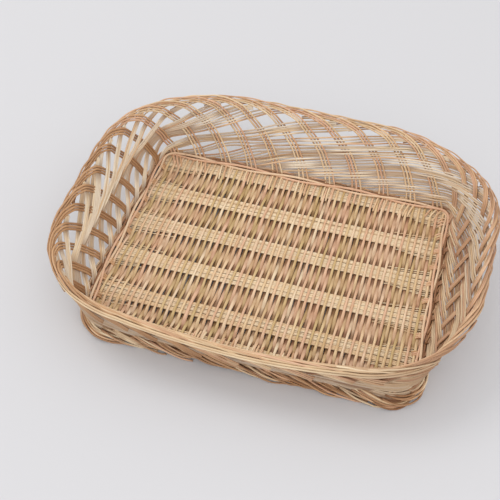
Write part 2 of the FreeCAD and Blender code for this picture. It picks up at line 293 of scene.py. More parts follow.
class Rods:
    """Collects bent rods and turns them into one mesh."""

    def __init__(self, name, sides=8):
        self.name = name
        self.sides = sides
        self.points = []
        self.faces = []
        self.fibre = []
        self.tone = []
        self.soil = []
        self.smooth = []
        self.count = 0

    def add(self, path, facing, radius, tone, flat=1.0, start=0.0, second=None, soil=0.0):
        """One rod along path; facing is the way its flatter side looks, and the last argument says how far
        the rod is darkened towards dark brown, by painted shade and by stains.
        """
        path = np.asarray(path, float)
        count = len(path)
        radius = np.broadcast_to(radius, count)[:, None]
        ahead = unit(np.gradient(path, axis=0))
        side = unit(np.cross(ahead, np.broadcast_to(facing, path.shape)))
        up = np.cross(side, ahead)
        angles = np.arange(self.sides) * 2 * math.pi / self.sides
        cosine = np.cos(angles)[None, :, None]
        sine = np.sin(angles)[None, :, None]
        ring = path[:, None] + radius[:, None] * (cosine * side[:, None] + flat * sine * up[:, None])
        self.points.append(ring.reshape(-1, 3))
        step = np.linalg.norm(np.diff(path, axis=0), axis=1)
        length = start + np.concatenate([[0.0], np.cumsum(step)])
        fibre = np.empty((count, self.sides, 3))
        fibre[:, :, 0] = length[:, None]
        fibre[:, :, 1] = cosine[0, :, 0]
        fibre[:, :, 2] = sine[0, :, 0]
        self.fibre.append(fibre.reshape(-1, 3))
        second = RNG.random() if second is None else second
        seeds = np.empty((count * self.sides, 3))
        seeds[:] = (tone, second, self.count % SEEDS_IN_TURN)
        self.tone.append(seeds)
        self.soil.append(np.repeat(np.clip(np.broadcast_to(soil, count), 0.0, 1.0), self.sides))
        self._add_faces(count)
        return length[-1]

    def _add_faces(self, count):
        """The tube's sides, shaded smooth, and its two flat ends."""
        sides = self.sides
        first = sum(len(points) for points in self.points[:-1])
        ring = np.arange(count - 1)[:, None] * sides
        corner = np.arange(sides)[None, :]
        following = (corner + 1) % sides
        above = ring + sides
        quads = np.stack([ring + corner, ring + following, above + following, above + corner], -1)
        caps = []
        last = (count - 1) * sides
        for fold in range(sides // 2 - 1):
            cap = (fold, sides - 1 - fold, sides - 2 - fold, fold + 1)
            caps.append(cap)
            caps.append(tuple(last + place for place in reversed(cap)))
        quads = np.vstack([quads.reshape(-1, 4), caps]) + first
        self.faces.append(quads)
        smooth = np.ones(len(quads), bool)
        smooth[-len(caps):] = False
        self.smooth.append(smooth)
        self.count += 1

    def finish(self, material, slot, node):
        """Make the mesh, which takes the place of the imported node."""
        points = np.vstack(self.points) * MM
        quads = np.vstack(self.faces).astype(np.int32)
        mesh = bpy.data.meshes.new(self.name)
        mesh.vertices.add(len(points))
        mesh.vertices.foreach_set("co", points.astype(np.float32).ravel())
        mesh.loops.add(quads.size)
        mesh.loops.foreach_set("vertex_index", quads.ravel())
        mesh.polygons.add(len(quads))
        mesh.polygons.foreach_set("loop_start", np.arange(len(quads), dtype=np.int32) * 4)
        mesh.polygons.foreach_set("use_smooth", np.concatenate(self.smooth))
        mesh.update(calc_edges=True)
        for label, values in (("fibre", self.fibre), ("tone", self.tone)):
            layer = mesh.attributes.new(label, "FLOAT_VECTOR", "POINT")
            layer.data.foreach_set("vector", np.vstack(values).astype(np.float32).ravel())
        layer = mesh.attributes.new("soil", "FLOAT", "POINT")
        layer.data.foreach_set("value", np.concatenate(self.soil).astype(np.float32))
        mesh.materials.append(material)
        piece = bpy.data.objects.new(self.name, mesh)
        bpy.context.scene.collection.objects.link(piece)
        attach(piece, "root")
        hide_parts(node)


def softened(values, width):
    """Moving average that keeps the length and the ends."""
    padded = np.pad(values, width, mode="edge")
    kernel = np.hanning(2 * width + 1)[1:-1]
    return np.convolve(padded, kernel / kernel.sum(), mode="same")[width:-width]


def wander(count, size, stretch, width):
    """A slow, small random drift along a rod, so that no rod is straight."""
    knots = max(3, int(count / stretch) + 2)
    values = RNG.normal(0.0, size, knots)
    return softened(np.interp(np.linspace(0, knots - 1, count), np.arange(knots), values), width)


# -------- materials

STRAW = (0.82, 0.62, 0.385)
CREAM = (0.87, 0.73, 0.52)
PALE = (0.85, 0.76, 0.62)
TAN = (0.66, 0.42, 0.235)
PINK = (0.77, 0.50, 0.34)
OLIVE = (0.62, 0.46, 0.22)
BROWN = (0.45, 0.24, 0.11)
# The dark brown of painted shade on the rods in the folds, behind the crossings and on the shaded walls, and
# of random stains on some rods
SHADE_AND_STAIN_BROWN = (0.31, 0.19, 0.13)

GRAIN_COLOUR = (0.62, 0.47, 0.33)
STAIN_COLOUR = (0.62, 0.42, 0.26)
HUE_COLOUR = (0.74, 0.50, 0.33)
HUE_AMOUNT = 0.22
# How fine each pattern is along the rod, per millimetre, and round it
GRAIN_SCALE = (0.11, 3.2, 3.2)
STAIN_SCALE = (0.035, 0.35, 0.35)
HUE_SCALE = (0.018, 0.2, 0.2)
NOISE_LOW = 0.42
NOISE_HIGH = 0.72
NOISE_ROUGHNESS = 0.6
SEED_SCALE = (17.3, 5.1, 0.37)
SMOOTHER = 0.08
ROUGHER = 0.14
GRAIN_RELIEF = 0.25
GRAIN_HEIGHT = 0.0004
WILLOW_SPECULAR = 0.35


def set_input(node, socket, value):
    node.inputs[socket].default_value = value


def attribute_node(tree, name):
    node = tree.nodes.new("ShaderNodeAttribute")
    node.attribute_name = name
    return node


def colour_ramp(tree, colours):
    """A ramp with its colours evenly spaced."""
    ramp = tree.nodes.new("ShaderNodeValToRGB")
    while len(ramp.color_ramp.elements) < len(colours):
        ramp.color_ramp.elements.new(0.5)
    for index, colour in enumerate(colours):
        element = ramp.color_ramp.elements[index]
        element.position = index / (len(colours) - 1)
        element.color = (*colour, 1.0)
    return ramp


def rod_noise(tree, seed, scale, detail, label):
    """Noise stretched along the rod."""
    stretch = tree.nodes.new("ShaderNodeVectorMath")
    stretch.operation = "MULTIPLY"
    set_input(stretch, 1, scale)
    tree.links.new(seed.outputs["Vector"], stretch.inputs[0])
    texture = tree.nodes.new("ShaderNodeTexNoise")
    texture.label = label
    set_input(texture, "Scale", 1.0)
    set_input(texture, "Detail", detail)
    set_input(texture, "Roughness", NOISE_ROUGHNESS)
    tree.links.new(stretch.outputs["Vector"], texture.inputs["Vector"])
    return texture.outputs["Fac"]


def colour_mix(tree, kind, factor, first, second):
    """Mix of a linked colour with a fixed one, by a linked factor."""
    mix = tree.nodes.new("ShaderNodeMix")
    mix.data_type = "RGBA"
    mix.blend_type = kind
    tree.links.new(factor, mix.inputs[0])
    tree.links.new(first, mix.inputs[6])
    set_input(mix, 7, (*second, 1.0))
    return mix.outputs[2]


def noise_mix(tree, kind, noise, first, second, amount):
    """Mix by noise, from nothing where the noise is low to the full amount where it is high."""
    scaled = tree.nodes.new("ShaderNodeMapRange")
    set_input(scaled, "From Min", NOISE_LOW)
    set_input(scaled, "From Max", NOISE_HIGH)
    set_input(scaled, "To Max", amount)
    tree.links.new(noise, scaled.inputs["Value"])
    return colour_mix(tree, kind, scaled.outputs["Result"], first, second)


def willow(name, colours, grain=0.35, stain=0.35, roughness=0.55):
    """Peeled willow: each rod has its own colour, with fine grain and stains along it."""
    material = bpy.data.materials.new(name)
    material.use_nodes = True
    tree = material.node_tree
    nodes = tree.nodes
    link = tree.links.new
    nodes.clear()
    output = nodes.new("ShaderNodeOutputMaterial")
    shader = nodes.new("ShaderNodeBsdfPrincipled")
    link(shader.outputs["BSDF"], output.inputs["Surface"])
    fibre = attribute_node(tree, "fibre")
    tone = attribute_node(tree, "tone")
    parts = nodes.new("ShaderNodeSeparateXYZ")
    link(tone.outputs["Vector"], parts.inputs["Vector"])
    ramp = colour_ramp(tree, colours)
    link(parts.outputs["X"], ramp.inputs["Fac"])

    seed = nodes.new("ShaderNodeVectorMath")
    seed.operation = "MULTIPLY_ADD"
    set_input(seed, 1, SEED_SCALE)
    link(tone.outputs["Vector"], seed.inputs[0])
    link(fibre.outputs["Vector"], seed.inputs[2])
    streaks = rod_noise(tree, seed, GRAIN_SCALE, 3.0, "fine grain along the rod")
    blotches = rod_noise(tree, seed, STAIN_SCALE, 2.0, "stains along the rod")
    warmth = rod_noise(tree, seed, HUE_SCALE, 1.0, "slow change of hue")
    colour = noise_mix(tree, "MULTIPLY", streaks, ramp.outputs["Color"], GRAIN_COLOUR, grain)
    colour = noise_mix(tree, "MULTIPLY", blotches, colour, STAIN_COLOUR, stain)
    colour = noise_mix(tree, "MIX", warmth, colour, HUE_COLOUR, HUE_AMOUNT)
    # Painted shade in the folds, behind the crossings and on the shaded walls, and random stains by rod,
    # multiplied in from a per-point attribute
    soil = attribute_node(tree, "soil")
    colour = colour_mix(tree, "MULTIPLY", soil.outputs["Fac"], colour, SHADE_AND_STAIN_BROWN)
    link(colour, shader.inputs["Base Color"])

    rough = nodes.new("ShaderNodeMapRange")
    set_input(rough, "To Min", roughness - SMOOTHER)
    set_input(rough, "To Max", roughness + ROUGHER)
    link(streaks, rough.inputs["Value"])
    link(rough.outputs["Result"], shader.inputs["Roughness"])
    relief = nodes.new("ShaderNodeBump")
    set_input(relief, "Strength", GRAIN_RELIEF)
    set_input(relief, "Distance", GRAIN_HEIGHT)
    link(streaks, relief.inputs["Height"])
    link(relief.outputs["Normal"], shader.inputs["Normal"])
    set_input(shader, "Specular IOR Level", WILLOW_SPECULAR)
    return material


FLOOR_WILLOW = willow("willow_base", (BROWN, TAN, OLIVE, PINK, OLIVE, STRAW, PINK, CREAM), stain=0.45)
BAND_WILLOW = willow("willow_band", (PINK, STRAW, CREAM, CREAM), stain=0.2, grain=0.25)
STAKE_WILLOW = willow("willow_stake", (BROWN, TAN, PINK, STRAW, CREAM))
COUNTER_WILLOW = willow("willow_counter", (BROWN, TAN, PINK, STRAW, CREAM, PALE, PALE), stain=0.25)
BORDER_WILLOW = willow("willow_border", (BROWN, TAN, PINK, STRAW, CREAM), roughness=0.48)
EDGE_WILLOW = willow("willow_edge", (TAN, PINK, PINK, CREAM))
FOOT_WILLOW = willow("willow_foot", (BROWN, TAN, PINK, STRAW, CREAM), stain=0.5)

# -------- base

# A base rod's middle swings this far over and under the bands, and a little further under.
WARP_SWING = (WARP_RADIUS - WARP_NARROWING) * WARP_FLAT + BAND_ROD_RADIUS
WARP_EXTRA_DEPTH = 1.6
WARP_HOLD_OVER = 0.5
WARP_HOLD_UNDER = 3.5
WARP_END_REACH = 6.0
WARP_END_DROP = 0.3
WARP_STEP = 2.4
WARP_SWAY = 0.35
# Painted shade, as shares of the full dark brown: at a rod's ends in the fold under the edge rods, where it
# runs low between the bands, and most where it dives below them
END_SHADE = 0.7
END_SHADE_LENGTH = 6.0
END_SHADE_FADE = 4.0
LOW_SHADE = 0.32
UNDER_SHADE = 0.45
PALE_WARPS = (13, 14, 30, 41, 42, 51, 66, 67, 83, 84)


def band_y(band):
    """Middle of a band: evenly spaced from the back, and the last one close to the front edge."""
    if band == BAND_COUNT - 1:
        return BASE_FRONT_Y + BAND_END_INSET
    return BASE_BACK_Y - BAND_END_INSET - band * BAND_SPACING


def band_row_offset(rod):
    """Place of a rod across its band, in three close groups of three."""
    place = rod - (BAND_RODS - 1) / 2
    return place * BAND_ROD_PITCH + BAND_GROUP_GAP * (rod // 3 - 1)


BAND_HALF = band_row_offset(BAND_RODS - 1) + BAND_ROD_RADIUS


def corner_inset(distance, radius):
    """How far a rounded corner takes the edge in, at a distance from the side."""
    over = min(max(radius - distance, 0.0), radius)
    return radius - math.sqrt(radius ** 2 - over ** 2)


def front_corner(side):
    """Corner radius of the base's front left (below 0) or front right end."""
    return BASE_CORNER_LEFT if side < 0 else BASE_CORNER_FRONT


def side_inset(y, side):
    """How far the base's left (-1) or right (1) edge is taken in at y by the nearest corner."""
    back = corner_inset(BASE_BACK_Y - y, BASE_CORNER_BACK)
    return back + corner_inset(y - BASE_FRONT_Y, front_corner(side))


def warp_line(index):
    """Heights of a base rod, over one band and under the next, as knots from front to back."""
    knots = [(BASE_BACK_Y + WARP_END_REACH, -WARP_END_DROP * WARP_SWING)]
    for band in range(BAND_COUNT):
        over = (index + band) % 2 == 0
        hold = BAND_HALF + (WARP_HOLD_OVER if over else WARP_HOLD_UNDER)
        level = WARP_SWING if over else -WARP_SWING - WARP_EXTRA_DEPTH
        knots.append((band_y(band) + hold, level))
        knots.append((band_y(band) - hold, level))
    knots.append((BASE_FRONT_Y - WARP_END_REACH, -WARP_END_DROP * WARP_SWING))
    return np.array(knots)[::-1]


def build_base_rods():
    pieces = {0: Rods("base_rods_odd"), 1: Rods("base_rods_even")}
    for index in range(WARP_COUNT):
        x = (index - (WARP_COUNT - 1) / 2) * WARP_PITCH
        beside = BASE_HALF_WIDTH - abs(x)
        back_end = BASE_BACK_Y - corner_inset(beside, BASE_CORNER_BACK)
        front_end = BASE_FRONT_Y + corner_inset(beside, front_corner(x))
        y = np.arange(back_end, front_end, -WARP_STEP)
        knots = warp_line(index)
        z = softened(np.interp(y, knots[:, 0], knots[:, 1]), 3)
        swing = z / WARP_SWING
        drift = wander(len(y), size=0.4, stretch=16, width=8)
        drift += WARP_SWAY * np.sin((y - BASE_BACK_Y) / BAND_SPACING * math.pi + index % 2 * math.pi)
        pale = index in PALE_WARPS
        radius = WARP_RADIUS - WARP_NARROWING * np.clip(swing, -1.0, 1.0)
        radius *= RNG.uniform(1.1, 1.3) if pale else RNG.uniform(0.96, 1.06)
        tone = RNG.uniform(0.85, 1.0) if pale else 0.4 + 0.6 * RNG.beta(1.4, 1.6)
        swell = radius * (1 + wander(len(y), size=0.06, stretch=10, width=5))
        path = np.column_stack([x + drift, y, BASE_Z + z])
        # Painted shade: darker where the rod runs low, darkest under a band, and at its ends in the fold
        soil = LOW_SHADE * smooth_step((0.5 - swing) / 0.9) + UNDER_SHADE * smooth_step((-swing - 0.6) / 0.8)
        for from_end in (y - front_end, back_end - y):
            at_end = smooth_step((END_SHADE_LENGTH - from_end) / END_SHADE_FADE)
            soil = np.maximum(soil, END_SHADE * at_end)
        pieces[index % 2].add(path, UP, swell, tone, flat=WARP_FLAT, soil=soil)
    pieces[0].finish(FLOOR_WILLOW, "base_rod", "base_rods_odd")
    pieces[1].finish(FLOOR_WILLOW, "base_rod", "base_rods_even")


BAND_SIDE_INSET = 1.5
BAND_STEP = 2.3
BAND_WAVE = 0.3
BAND_FAN = 0.16
BAND_FAN_LENGTH = 75.0
BAND_FLAT = 0.92


def build_bands():
    reach = BASE_HALF_WIDTH - BAND_SIDE_INSET
    for band in range(BAND_COUNT):
        name = "base_band_%d" % (band + 1)
        piece = Rods(name)
        for rod in range(BAND_RODS):
            offset = band_row_offset(rod)
            y = band_y(band) + offset
            x = np.arange(side_inset(y, -1) - reach, reach - side_inset(y, 1), BAND_STEP)
            waves = BAND_WAVE * np.cos(math.pi * (x / WARP_PITCH + band + 0.5))
            fan = BAND_FAN * offset * smooth_step((np.abs(x) - reach + BAND_FAN_LENGTH) / BAND_FAN_LENGTH)
            drift = wander(len(x), size=0.25, stretch=12, width=6)
            path = np.column_stack([x, y + fan + drift, BASE_Z + waves])
            radius = BAND_ROD_RADIUS * RNG.uniform(0.92, 1.06)
            tone = RNG.uniform(0.3, 1.0)
            soil = RNG.uniform(0.0, 0.22)
            piece.add(path, UP, radius, tone, flat=BAND_FLAT, soil=soil)
        piece.finish(BAND_WILLOW, "base_band", name)


WEFT_LENGTH = 62.0
WEFT_RADIUS = 0.85
WEFT_POINTS = 36
WEFT_PLACES = (2.6, 5.6, 8.4)
WEFT_FRONT_GAP = 14.0
WEFT_BACK_GAP = 8.0
WEFT_SIDE_GAP = 3.0
WEFT_TUCK = 2.0
WEFT_BEND = 0.35
WEFT_DROP = 0.8
WEFT_WAVE = 0.5


def build_end_wefts():
    """Short thin rods beside every band at the base's two ends, which curve away from it."""
    for side, name in ((-1, "left"), (1, "right")):
        piece = Rods("base_end_wefts_" + name, sides=6)
        for band in range(BAND_COUNT):
            for place in WEFT_PLACES:
                for direction in (-1, 1):
                    y = band_y(band) + direction * (BAND_HALF + place)
                    if not BASE_FRONT_Y + WEFT_FRONT_GAP < y < BASE_BACK_Y - WEFT_BACK_GAP:
                        continue
                    outer = BASE_HALF_WIDTH - WEFT_SIDE_GAP - side_inset(y, side)
                    inner = outer - WEFT_LENGTH * RNG.uniform(0.7, 1.25)
                    x = np.linspace(inner, outer, WEFT_POINTS)
                    away = WEFT_TUCK + place * WEFT_BEND
                    bend = away * smooth_step((x - inner) / (outer - inner)) - WEFT_TUCK
                    z = BASE_Z - WEFT_DROP + WEFT_WAVE * np.cos(math.pi * (x / WARP_PITCH + band))
                    path = np.column_stack([side * x, y + direction * bend, z])
                    piece.add(path, UP, WEFT_RADIUS, RNG.uniform(0.3, 1.0))
        piece.finish(BAND_WILLOW, "base_band", "base_end_wefts_" + name)


# -------- paths of stakes and counter rods

WALL_NAMES = ("front", "front_right", "right", "back_right", "back", "back_left", "left", "front_left")
CORNER_TURNS = (1.0, 3.0, 5.0, 7.0)
CORNER_NAMES = ("front_right", "back_right", "back_left", "front_left")
CORNER_REACH = 1.6 * STAKE_STEP

# A stake group leans as it rises, then lies down along the rim: steps from stake to stake, and rise.
STAKE_STEPS = np.array([0.0, 0.07, 0.17, 0.34, 0.52, 0.82, 1.15, 1.55, 2.0, 2.8, 3.8, 5.0])
STAKE_RISES = np.array([0.0, 0.10, 0.22, 0.36, 0.50, 0.65, 0.79, 0.93, 0.985, 1.0, 1.0, 1.0])
STAKE_POINTS = 170
STAKE_UNEVEN_END = 0.5
STAKE_UNEVEN_LEAN = 0.03
LEFT_SHIFT = 0.15
BORDER_FIRST_STEP = 2.0
BORDER_LIE_STEP = 1.7
# The border is a roll: each group crosses over the top and goes down on its outer side. At each step
# that a rod has lain: how far out it is, how far up, and how far up on the front.
BORDER_LYING = np.array([0.0, 0.8, 1.6, 2.3, 2.9, 3.4])
BORDER_OUT = np.array([0.0, 3.0, 6.0, 7.6, 6.0, 2.0])
BORDER_UP = np.array([0.0, 2.4, 2.0, -3.0, -11.0, -20.0])
BORDER_UP_FRONT = np.array([0.0, 2.2, 1.0, -6.0, -19.0, -34.0])

# Rises between which the stakes lie inside the counter rods
STAKES_INSIDE_LEFT = ((0.19, 0.54), (0.64, 0.69), (0.77, 1.1))
STAKES_INSIDE_BACK_LEFT = ((0.19, 0.54), (0.80, 1.1))
STAKES_INSIDE_BACK = ((-0.1, 0.21), (0.30, 0.60), (0.79, 1.1))
STAKES_INSIDE_RIGHT = ((-0.1, 0.14), (0.28, 0.60), (0.79, 1.1))

COUNTER_TOP = 0.965
COUNTER_FARTHEST = 3.6
COUNTER_PARTS = 10
COUNTER_SLOPE = 0.1
COUNTER_UNEVEN_START = 0.008


def smooth_curve(knots, values, at):
    """Catmull-Rom curve through the knots."""
    slope = np.gradient(values, knots)
    index = np.clip(np.searchsorted(knots, at) - 1, 0, len(knots) - 2)
    width = knots[index + 1] - knots[index]
    share = np.clip((at - knots[index]) / width, 0.0, 1.0)
    square = share ** 2
    cube = share ** 3
    first = (2 * cube - 3 * square + 1) * values[index] + (cube - 2 * square + share) * width * slope[index]
    last = (3 * square - 2 * cube) * values[index + 1] + (cube - square) * width * slope[index + 1]
    return first + last


def wall_name(turn):
    """Name of the wall or corner at a place round the basket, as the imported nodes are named."""
    turn = turn % OCTANTS
    for corner, name in zip(CORNER_TURNS, CORNER_NAMES):
        if abs(turn - corner) < CORNER_REACH:
            return name
    return ("front", "right", "back", "left", "front")[int((turn + 1) // 2)]


def stakes_inside(turn, rise):
    turn = turn % OCTANTS
    if 5.05 < turn < 5.6:
        ranges = STAKES_INSIDE_BACK_LEFT
    elif 5.05 < turn < 7.0:
        ranges = STAKES_INSIDE_LEFT
    elif 1.0 < turn < 2.7:
        ranges = STAKES_INSIDE_RIGHT
    else:
        ranges = STAKES_INSIDE_BACK
    return any(low < rise < high for low, high in ranges)


def left_slope(rise):
    """Slope of the counter rods on the left wall: steep, nearly level, then steep again."""
    if rise < 0.42:
        return 0.23
    if rise < 0.60:
        return 0.055
    return 0.19


def back_left_slope(rise):
    """Slope of the counter rods towards the back left corner, where they climb in two swings."""
    if rise < 0.38:
        return min(0.035 + 0.8 * rise, 0.2)
    return min(0.04 + 0.55 * (rise - 0.38), 0.17)


def counter_slope(turn, rise):
    """Rise of a counter rod for each stake it passes."""
    place = np.array([turn])
    left = on_left(place, 0.3)[0]
    corner = on_stretch(place, 4.2, 5.2, 0.3)[0] * (1 - left)
    plain = COUNTER_SLOPE * (1 - left - corner)
    return plain + left_slope(rise) * left + back_left_slope(rise) * corner


class Counter:
    """One group of thin counter rods: it leaves the base edge and climbs clockwise round the wall."""

    def __init__(self, start):
        self.start = start
        self.knots = []
        step = STAKE_STEP / COUNTER_PARTS
        travelled = [0.0]
        rises = [0.0]
        while rises[-1] < COUNTER_TOP and travelled[-1] < COUNTER_FARTHEST:
            slope = counter_slope((start - travelled[-1]) % OCTANTS, rises[-1])
            rises.append(rises[-1] + slope / COUNTER_PARTS)
            travelled.append(travelled[-1] + step)
        self.travelled = np.array(travelled)
        self.rises = softened(np.array(rises), 6)

    def rise_at(self, turn):
        travelled = np.mod(self.start - turn, OCTANTS)
        rise = np.interp(travelled, self.travelled, self.rises)
        return np.where(travelled <= self.travelled[-1], rise, np.nan)


def counter_groups():
    """All groups of counter rods; at the back left corner they stand twice as close."""
    groups = []
    start = 0.3 * STAKE_STEP
    while start < OCTANTS:
        groups.append(Counter(start + RNG.normal(0, COUNTER_UNEVEN_START)))
        start += STAKE_STEP * (0.5 if 4.25 < start < 5.1 else 1.0)
    return groups


class Stake:
    """One stake group's middle line, from the base edge to its end on the rim."""

    def __init__(self, group):
        place = np.array([(group + 0.5) * STAKE_STEP])
        shift = LEFT_SHIFT * smooth_step((place - 4.85) / 0.9) * smooth_step((7.2 - place) / 0.6)
        self.start = (place + shift)[0]
        last_step = STAKE_STEPS[-1] - RNG.uniform(0.0, STAKE_UNEVEN_END)
        self.steps = np.linspace(0.0, last_step, STAKE_POINTS)
        self.rises = np.minimum(smooth_curve(STAKE_STEPS, STAKE_RISES, self.steps), 1.0)
        lean = 1 + RNG.normal(0, STAKE_UNEVEN_LEAN)
        self.turns = self.start + self.steps * lean * STAKE_STEP
        self.knots = []


def cross_rods(stakes, counters):
    """Find where the two families cross, and say at each crossing which one lies inside."""
    for stake in stakes:
        below = stake.rises < 0.97
        turns = stake.turns[below]
        rises = stake.rises[below]
        for counter in counters:
            gap = counter.rise_at(turns) - rises
            with np.errstate(invalid="ignore"):
                hits = np.nonzero(gap[:-1] * gap[1:] < 0)[0]
            for hit in hits:
                share = gap[hit] / (gap[hit] - gap[hit + 1])
                rise = rises[hit] + share * (rises[hit + 1] - rises[hit])
                place = turns[hit] + share * (turns[hit + 1] - turns[hit])
                side = 1.0 if stakes_inside(stake.start, rise) else -1.0
                stake.knots.append((rise, side))
                counter.knots.append(((counter.start - place) % OCTANTS, -side))


def woven(at, knots, hold, rest):
    """Weave offset along a rod: a flat stretch at each crossing, and smooth changes between them."""
    if not knots:
        return np.full(len(at), rest)
    places = []
    sides = []
    for place, side in sorted(knots):
        for step in (-hold, hold):
            places.append(place + step)
            sides.append(side)
    places = np.maximum.accumulate(np.array(places))
    return np.interp(at, places, sides)


# -------- the wall's rods

# Distance between the rods of a stake group, by rise, on the back and the front
SPREAD_RISES = (0.0, 0.12, 0.3, 0.85, 1.0)
STAKE_SPREADS = (7.5, 6.5, 5.2, 4.2, 3.4)
STAKE_SPREAD_LEFT = 3.9
STAKE_SPREAD_RIGHT = 3.1
STAKE_SPREAD_RIGHT_RIM = 1.0
STAKE_SPREAD_FRONT_RIM = 1.2
COUNTER_SPREAD = 3.9
COUNTER_FANNED = 1.2
COUNTER_CLOSER_LEFT = 0.7
COUNTER_CLOSER_RIGHT = 0.3
COUNTER_CLOSER_CORNER = 1.1
COUNTER_CLOSER_TOP = 0.4
# Painted shade on the wall, as shares of the full dark brown: behind the crossings and on the right wall
BEHIND_SHADE = 0.5
RIGHT_WALL_SHADE = 0.28


def stake_spread(turns, rises):
    """Distance between the rods of one stake group."""
    left = on_left(turns)
    right = on_right(turns)
    wide = np.interp(rises, SPREAD_RISES, STAKE_SPREADS)
    right_spread = STAKE_SPREAD_RIGHT + STAKE_SPREAD_RIGHT_RIM * smooth_step((rises - 0.75) / 0.2)
    spread = wide * (1 - left - right) + STAKE_SPREAD_LEFT * left + right_spread * right
    return spread + STAKE_SPREAD_FRONT_RIM * on_front(turns, 0.4) * smooth_step((rises - 0.9) / 0.1)


def counter_spread(turns, rises):
    """Distance between the rods of one counter group: they fan out at the back, left of the middle."""
    left = on_left(turns, 0.8)
    corner = on_stretch(turns, 4.75, 5.2, 0.5) * (1 - left)
    spread = COUNTER_SPREAD - COUNTER_CLOSER_LEFT * left - COUNTER_CLOSER_RIGHT * on_right(turns)
    spread += COUNTER_FANNED * on_stretch(turns, 3.6, 4.6, 0.5) - COUNTER_CLOSER_CORNER * corner
    return spread * (1 - COUNTER_CLOSER_TOP * smooth_step((rises - 0.85) / 0.12))


def below_rim(rises):
    return smooth_step((0.97 - rises) / 0.1)


def wall_painted_shade(turns, rises, offset, in_fold, in_front):
    """Painted shade on the wall's rods: behind the crossings, in the fold, on the right wall, and on the low
    front wall by the amount given for each rod.
    """
    behind = BEHIND_SHADE * smooth_step(0.5 - 0.5 * offset / WEAVE_DEPTH)
    fold = in_fold * smooth_step((0.2 - rises) / 0.2)
    inner = np.maximum(behind, fold) + RIGHT_WALL_SHADE * on_right(turns)
    return below_rim(rises) * np.maximum(inner, in_front * on_front(turns, 0.3))


STAKE_LEFT_EXTRA = 0.25
STAKE_RIGHT_LESS = 0.15
BORDER_NARROWING = 0.25
BORDER_WANDER = 0.6
BORDER_END_DARKENING = 0.5
BORDER_RIGHT_SHADE = 0.3
LEAD_LONG = 33.0
LEAD_SHORT = 14.0
LEAD_POINTS = 14
LEAD_LIFT = 2.0
LEAD_DROP = 5.0
LEAD_SOFT_POINTS = 30


def stake_line(stake, offset, normal, lying):
    """A stake group's middle line with its weave, and its turn over the rim."""
    line = wall(stake.turns, stake.rises) + normal * offset[:, None]
    line += outward_level(stake.turns) * np.interp(lying, BORDER_LYING, BORDER_OUT)[:, None]
    front = on_front(stake.turns, 0.4)
    fall = np.interp(lying, BORDER_LYING, BORDER_UP) * (1 - front)
    fall += np.interp(lying, BORDER_LYING, BORDER_UP_FRONT) * front
    line[:, 2] += softened(fall, 6)
    return line


def stake_lead(path, out):
    """The first part of a stake rod, which comes out of the base over its outermost band."""
    reach = LEAD_SHORT + (LEAD_LONG - LEAD_SHORT) * abs(out[1]) ** 2
    steps = np.linspace(reach, 1.0, LEAD_POINTS)
    lead = path[0] - out * steps[:, None]
    lead[:, 2] = BASE_Z + WARP_SWING + LEAD_LIFT - LEAD_DROP * smooth_step(steps / reach * 2.4 - 1.4)
    lead[-1, 2] = BASE_Z + WARP_SWING
    return lead


def stake_shade_and_stain(stake, offset, lying, left, right):
    """How dark one stake rod is along its length: painted shade from the wall, a random darkening by rod
    that is stronger on the left wall, darker where it ends in the border, and on the border a random
    darkening with painted shade towards the right.
    """
    soil = wall_painted_shade(stake.turns, stake.rises, offset, 0.1 + 0.6 * right, RNG.uniform(0.4, 0.9))
    soil = np.maximum(soil, RNG.uniform(0.0, 0.35) * (1 - left) * below_rim(stake.rises))
    soil = np.maximum(soil, BORDER_END_DARKENING * smooth_step((lying - 2.2) / 1.0))
    soil = np.maximum(soil, RNG.uniform(0.15, 0.5) * left * below_rim(stake.rises))
    by_right = BORDER_RIGHT_SHADE * on_stretch(stake.turns, 0.7, 2.7, 0.6)
    return np.maximum(soil, (RNG.uniform(0.0, 0.3) + by_right) * smooth_step(lying))


def add_stake_rod(stakes_piece, border_piece, split, rod):
    """One stake rod in two parts, the wall's and the border's, which meet at the split point."""
    path, facing, radius, tone, second, soil = rod
    length = 0.0
    for piece, part in ((stakes_piece, slice(split + 1)), (border_piece, slice(split, None))):
        length = piece.add(
            path[part], facing[part], radius[part], tone, start=length, second=second, soil=soil[part]
        )


